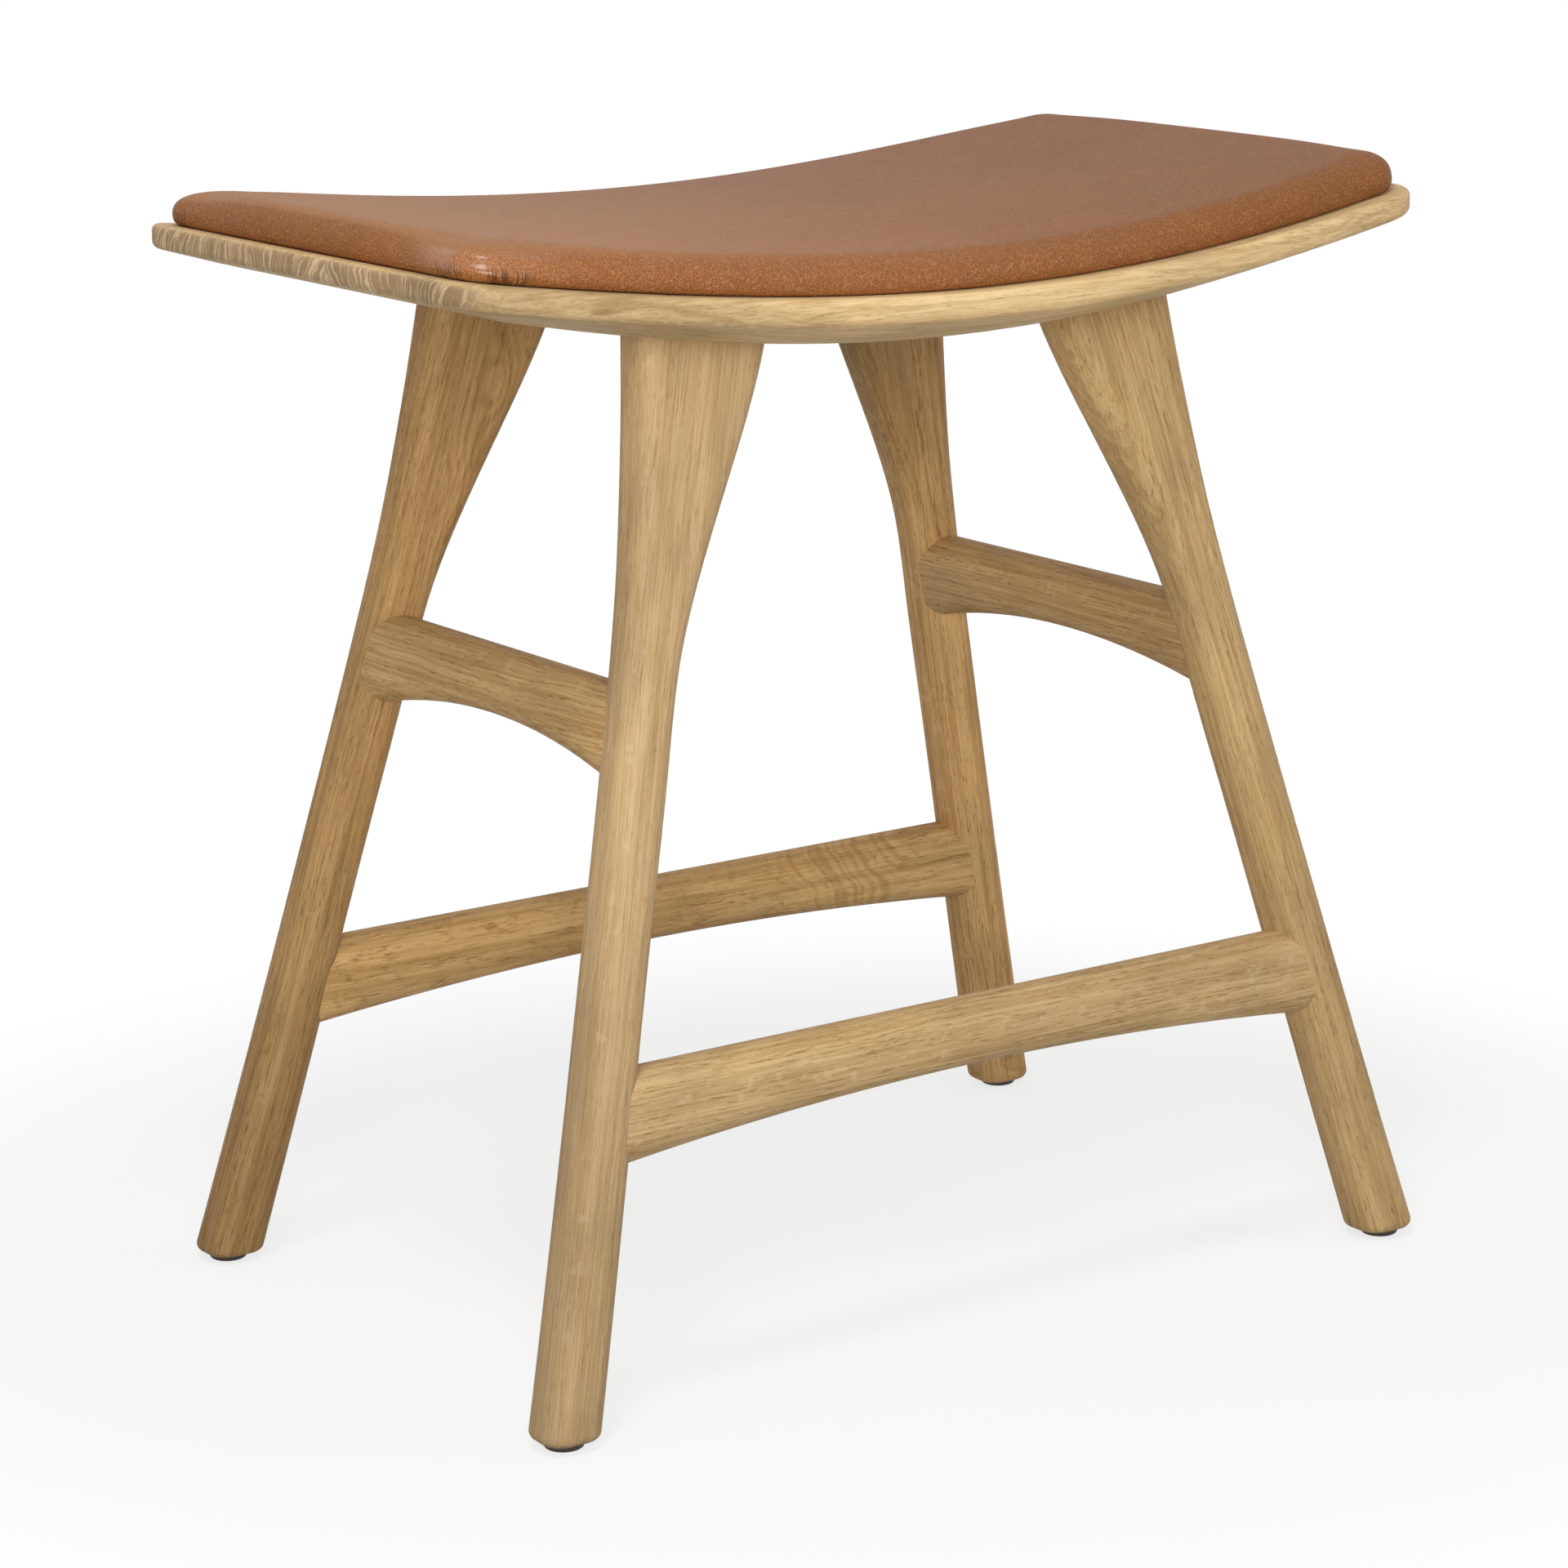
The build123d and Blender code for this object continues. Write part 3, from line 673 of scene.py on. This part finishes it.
def edge_distance(points):
    """How far plan points lie inside the pad's outline, worked out in one quarter."""
    line = np.concatenate([half_side, half_end]) * (1, -1)
    result = np.empty(len(points))
    runs = line[1:] - line[:-1]
    lengths = np.maximum((runs**2).sum(1), 1e-12)
    for index, point in enumerate(np.abs(points)):
        share = np.clip(((point - line[:-1]) * runs).sum(1) / lengths, 0, 1)
        nearest = line[:-1] + runs * share[:, None]
        result[index] = math.sqrt(((nearest - point) ** 2).sum(1).min())
    return result


def pad_mesh():
    """A square grid wrapped to the pad's outline: top, rolled shoulder, wall and turned-under edge."""
    edge = [0.0, 0.1, 0.35, 0.75, 1.3, 2.0, 2.9, 4.0, 5.3, 6.7]
    edge += [edge[-1] + pad_grid_step * k for k in range(1, pad_grid_steps + 1)]
    edge = np.array(edge) / pad_half_depth
    inward = 1 - np.concatenate([edge, np.linspace(edge[-1], 1.0, 21)[1:]])
    ticks = np.concatenate([-inward[:-1], inward[::-1]])
    count = len(ticks)
    plan = np.zeros((count, count, 2))
    for i, a in enumerate(ticks):
        for j, b in enumerate(ticks):
            most = max(abs(a), abs(b))
            if most < 1e-9:
                continue
            if abs(b) >= abs(a):
                spot = evenly(half_side, abs(a) / most)
            else:
                spot = evenly(half_end, 1 - abs(b) / most)
            plan[i, j] = (np.sign(a) * spot[0] * most, np.sign(b) * abs(spot[1]) * most)
    flat = plan.reshape(-1, 2)
    inset = edge_distance(flat)
    near_corner = np.exp(-(((np.abs(flat) - corner_middle) / corner_reach) ** 2).sum(1))
    corner_roll = np.where(flat[:, 0] > 0, pad_right_corner_roll, pad_left_corner_roll)
    roll_here = pad_roll + corner_roll * near_corner
    roll = np.sqrt(1 - np.clip(1 - inset / roll_here, 0, 1) ** 2)
    flat = flat + (pad_shift, 0)
    x, y = flat[:, 0], flat[:, 1]
    half_depth_here = pad_half_depth - pad_side_sweep * (x / seat_half_length) ** 2
    toward_end = (x / pad_crown_end) ** 2
    crown = pad_crown * (1 - toward_end).clip(0) * (1 - (y / half_depth_here) ** 2).clip(0)
    shoulder = pad_shoulder + np.where(x > 0, pad_right_rise, pad_left_rise) * toward_end
    lift = pad_wall + (shoulder - pad_wall) * roll + crown
    verts = [tuple(spot) for spot in np.stack([x, y, dish(x) + lift], axis=1)]
    faces = []
    for i in range(count - 1):
        for j in range(count - 1):
            faces.append((i * count + j, (i + 1) * count + j, (i + 1) * count + j + 1, i * count + j + 1))
    last = count - 1
    loop = [(i, 0) for i in range(count)] + [(last, j) for j in range(1, count)]
    loop += [(i, last) for i in range(last - 1, -1, -1)] + [(0, j) for j in range(last - 1, 0, -1)]
    above = [i * count + j for i, j in loop]
    rim = flat[above]
    way = np.roll(rim, -1, axis=0) - np.roll(rim, 1, axis=0)
    way = np.stack([-way[:, 1], way[:, 0]], axis=1)
    way /= np.hypot(*way.T)[:, None]
    for inset, height in under_edge:
        first = len(verts)
        for spot in rim + way * inset:
            verts.append((spot[0], spot[1], dish(spot[0]) + height))
        below = list(range(first, first + len(rim)))
        for k, turn in enumerate(below):
            n = (k + 1) % len(rim)
            faces.append((above[k], turn, below[n], above[n]))
        above = below
    mesh = bpy.data.meshes.new("leather_pad")
    mesh.from_pydata([tuple(part / 1000 for part in spot) for spot in verts], [], faces)
    mesh.validate()
    return mesh


def points_of(mesh):
    """A mesh's points, as rows of x, y and z in metres."""
    flat = np.empty(len(mesh.vertices) * 3)
    mesh.vertices.foreach_get("co", flat)
    return flat.reshape(-1, 3)


def height_over_seat(points):
    """How high points lie over the seat's dish, in mm."""
    return points[:, 2] * 1000 - dish(points[:, 0] * 1000)


# How the pad is filled, with the coarse grid and the furthest move in metres
cloth_grid = 0.005
most_swell = 0.0024
cloth_mass = 0.4
cloth_quality = 5
fill_pressure = 4.0
fill_frames = 20
neighbour_count = 7

# Up to where the cloth is held, and from where and over how much it comes free, in mm over the seat
held_height = 3.0
free_from = 1.5
free_over = 4.0


def evaluated_copy(piece):
    """A new mesh with the piece's modifiers applied, at the frame that Blender stands at."""
    return bpy.data.meshes.new_from_object(piece.evaluated_get(bpy.context.evaluated_depsgraph_get()))


def swell(shape):
    """Fill the pad as tight cloth over foam, and move its points by what that gives."""
    trial = bpy.data.objects.new("pad_trial", shape.copy())
    bpy.context.scene.collection.objects.link(trial)
    grid = trial.modifiers.new("grid", "REMESH")
    grid.mode = "VOXEL"
    grid.voxel_size = cloth_grid
    coarse = evaluated_copy(trial)
    trial.modifiers.clear()
    trial.data = coarse
    before = points_of(coarse)
    held = trial.vertex_groups.new(name="held")
    held.add([int(k) for k in np.flatnonzero(height_over_seat(before) < held_height)], 1.0, "REPLACE")
    cloth = trial.modifiers.new("swell", "CLOTH")
    cloth.settings.quality = cloth_quality
    cloth.settings.mass = cloth_mass
    cloth.settings.vertex_group_mass = "held"
    cloth.settings.use_pressure = True
    cloth.settings.uniform_pressure_force = fill_pressure
    cloth.settings.effector_weights.gravity = 0.0
    cloth.point_cache.frame_start = 1
    cloth.point_cache.frame_end = fill_frames
    for moment in range(1, fill_frames + 1):
        bpy.context.scene.frame_set(moment)
    moves = points_of(evaluated_copy(trial)) - before
    far = np.linalg.norm(moves, axis=1, keepdims=True)
    moves *= np.minimum(1.0, most_swell / np.maximum(far, 1e-9))
    bpy.context.scene.frame_set(1)
    bpy.data.objects.remove(trial)

    # the fine mesh follows the nearest points of the coarse one
    tree = KDTree(len(before))
    for index, spot in enumerate(before):
        tree.insert(spot, index)
    tree.balance()
    points = points_of(shape)
    free = np.clip((height_over_seat(points) - free_from) / free_over, 0, 1)
    for index in np.flatnonzero(free):
        near = tree.find_n(points[index], neighbour_count)
        shares = np.array([1 / (gap + 0.001) ** 2 for _, _, gap in near])
        push = sum(share * moves[other] for share, (_, other, _) in zip(shares / shares.sum(), near))
        points[index] += push * free[index]
    shape.vertices.foreach_set("co", points.ravel())
    shape.update()


# How the corners are pressed, in mm, and how much of it each corner gets. The angles are in radians
crease_depth = 1.05
crease_height = 8.0
crease_width = 1.8
bulge_depth = 0.50
bulge_height = 4.4
bulge_width = 1.7
gather_depth = 0.35
gather_height = 2.2
gather_width = 2.6
gather_waves = 11
gather_reach = 45.0
crease_run = 40.0
crease_angle = 0.9
near_left_share = 1.1
other_corner_share = 0.12


def hump(value, middle, width):
    """1 at the middle, falling smoothly to 0 about two widths away."""
    return np.exp(-(((value - middle) / width) ** 2))


def press_corners(shape):
    """Press a crease with a bulge and small gathers under it into each corner, most at the near left."""
    points = points_of(shape)
    normals = np.empty(len(points) * 3)
    shape.vertices.foreach_get("normal", normals)
    normals = normals.reshape(-1, 3)
    above = height_over_seat(points)
    beyond = np.abs(points[:, :2]) * 1000 - corner_middle
    angle = np.arctan2(beyond[:, 1], beyond[:, 0])
    reach = np.hypot(beyond[:, 0], beyond[:, 1])
    past = angle - crease_angle
    run = np.where(angle > crease_angle, past * 20 + np.maximum(-beyond[:, 0], 0) * 0.6, past * 42)
    fade = hump(run, 0, crease_run) * (beyond.max(axis=1) > 0)
    crease = -crease_depth * hump(above, crease_height, crease_width)
    crease = crease + bulge_depth * hump(above, bulge_height, bulge_width)
    gather = np.sin(angle * gather_waves + 0.8) * hump(above, gather_height, gather_width) * gather_depth
    beside = hump(angle, 1.9, 0.55) + 0.8 * hump(angle, -0.1, 0.5)
    near_left = (points[:, 0] < 0) & (points[:, 1] < 0)
    push = crease * fade + gather * beside * hump(reach, 0, gather_reach) * (above > 0.5)
    push *= np.where(near_left, near_left_share, other_corner_share)
    points += normals * (push / 1000)[:, None]
    shape.vertices.foreach_set("co", points.ravel())
    shape.update()


pad_shape = pad_mesh()
swell(pad_shape)
press_corners(pad_shape)
pad = bpy.data.objects.new("leather_pad", pad_shape)
bpy.context.scene.collection.objects.link(pad)
pad_shape.shade_smooth()
smooth = pad.modifiers.new("soft", "SUBSURF")
smooth.levels = 1
smooth.render_levels = 1
pad_shape.materials.append(leather("cognac_leather", corner_middle, dish))
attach(pad, "root")
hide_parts("pad_cover", "pad_foam")


# Floor, with distances from the middle in mm and its half size in metres
floor_half = 8
shadow_reach = 330
white_from = 600
near_white_share = 0.74
paper_tone = 0.95
dull_tone = 0.45


def floor_finish():
    """White where it is seen, with the stool's soft shadow, and grey for the light that it sends back up."""
    ground = finish("pale_floor")
    away = ground.vector("LENGTH", ground.place(), give="Value")
    white_share = near_white_share + ground.step(away, shadow_reach, white_from) * (1 - near_white_share)
    paper = ground.node("BsdfDiffuse", None, {"Color": paint((paper_tone,) * 3)})
    glow = ground.node("Emission", None, {"Color": paint((1, 1, 1)), "Strength": 1.0})
    dull = ground.node("BsdfDiffuse", None, {"Color": paint((dull_tone,) * 3)})
    clear = ground.node("BsdfTransparent")
    shown = ground.node("MixShader", None, {0: white_share, 1: paper, 2: glow})
    surface = ground.node("MixShader", None, {0: ground.seen(), 1: dull, 2: shown})
    under = ground.node("NewGeometry", give="Backfacing")
    return ground.close(ground.node("MixShader", None, {0: under, 1: surface, 2: clear}))


floor_shape = bpy.data.meshes.new("floor")
floor_corners = [(x * floor_half, y * floor_half, 0) for x, y in ((-1, -1), (1, -1), (1, 1), (-1, 1))]
floor_shape.from_pydata(floor_corners, [], [(0, 1, 2, 3)])
floor_shape.materials.append(floor_finish())
floor = bpy.data.objects.new("floor", floor_shape)
bpy.context.scene.collection.objects.link(floor)


# Soft lamps, and a world that is white where it is seen and dimmer as light
world_dim = 0.42
world_bright = 1.0


def soft_lamp(name, place, target, size, power):
    """A round lamp at place, aimed at target, with its size in metres and its power in watts."""
    lamp = bpy.data.lights.new(name, "AREA")
    lamp.shape = "DISK"
    lamp.size = size
    lamp.energy = power
    holder = bpy.data.objects.new(name, lamp)
    holder.location = place
    holder.rotation_euler = (Vector(target) - Vector(place)).to_track_quat("-Z", "Y").to_euler()
    bpy.context.scene.collection.objects.link(holder)


soft_lamp("front_light", (-1.25, -1.65, 0.80), (0, 0, 0.32), 0.9, 24)
soft_lamp("right_light", (2.1, -1.6, 0.9), (0, 0, 0.25), 1.2, 9)
soft_lamp("key_light", (-0.6, -0.5, 1.9), (0, 0, 0.35), 0.35, 8)

sky = Finish(bpy.data.worlds.new("studio"))
dim = sky.node("Background", None, {"Color": paint((1, 1, 1)), "Strength": world_dim})
bright = sky.node("Background", None, {"Color": paint((1, 1, 1)), "Strength": world_bright})
backdrop = sky.node("MixShader", None, {0: sky.seen(), 1: dim, 2: bright})
bpy.context.scene.world = sky.close(backdrop, "OutputWorld")

bpy.context.scene.view_settings.view_transform = "Standard"

# The photograph's camera
image_width = 1920
focal_pixels = 5732.95
sensor_width = 36.0
camera_place = (-1.162838, -1.688095, 0.717830)
view_turn = math.radians(34.3797)
view_drop = math.radians(13.6907)
view_roll = math.radians(-0.8696)
ahead = Vector((
    math.sin(view_turn) * math.cos(view_drop),
    math.cos(view_turn) * math.cos(view_drop),
    -math.sin(view_drop)))
level = Vector((math.cos(view_turn), -math.sin(view_turn), 0))
upward = level.cross(ahead)
right = level * math.cos(view_roll) + upward * math.sin(view_roll)
up = upward * math.cos(view_roll) - level * math.sin(view_roll)
camera_data = bpy.data.cameras.new("camera")
camera_data.sensor_width = sensor_width
camera_data.lens = focal_pixels / image_width * sensor_width
camera = bpy.data.objects.new("camera", camera_data)
turned = Matrix((right, up, -ahead)).transposed().to_4x4()
camera.matrix_world = Matrix.Translation(camera_place) @ turned
bpy.context.scene.collection.objects.link(camera)
bpy.context.scene.camera = camera
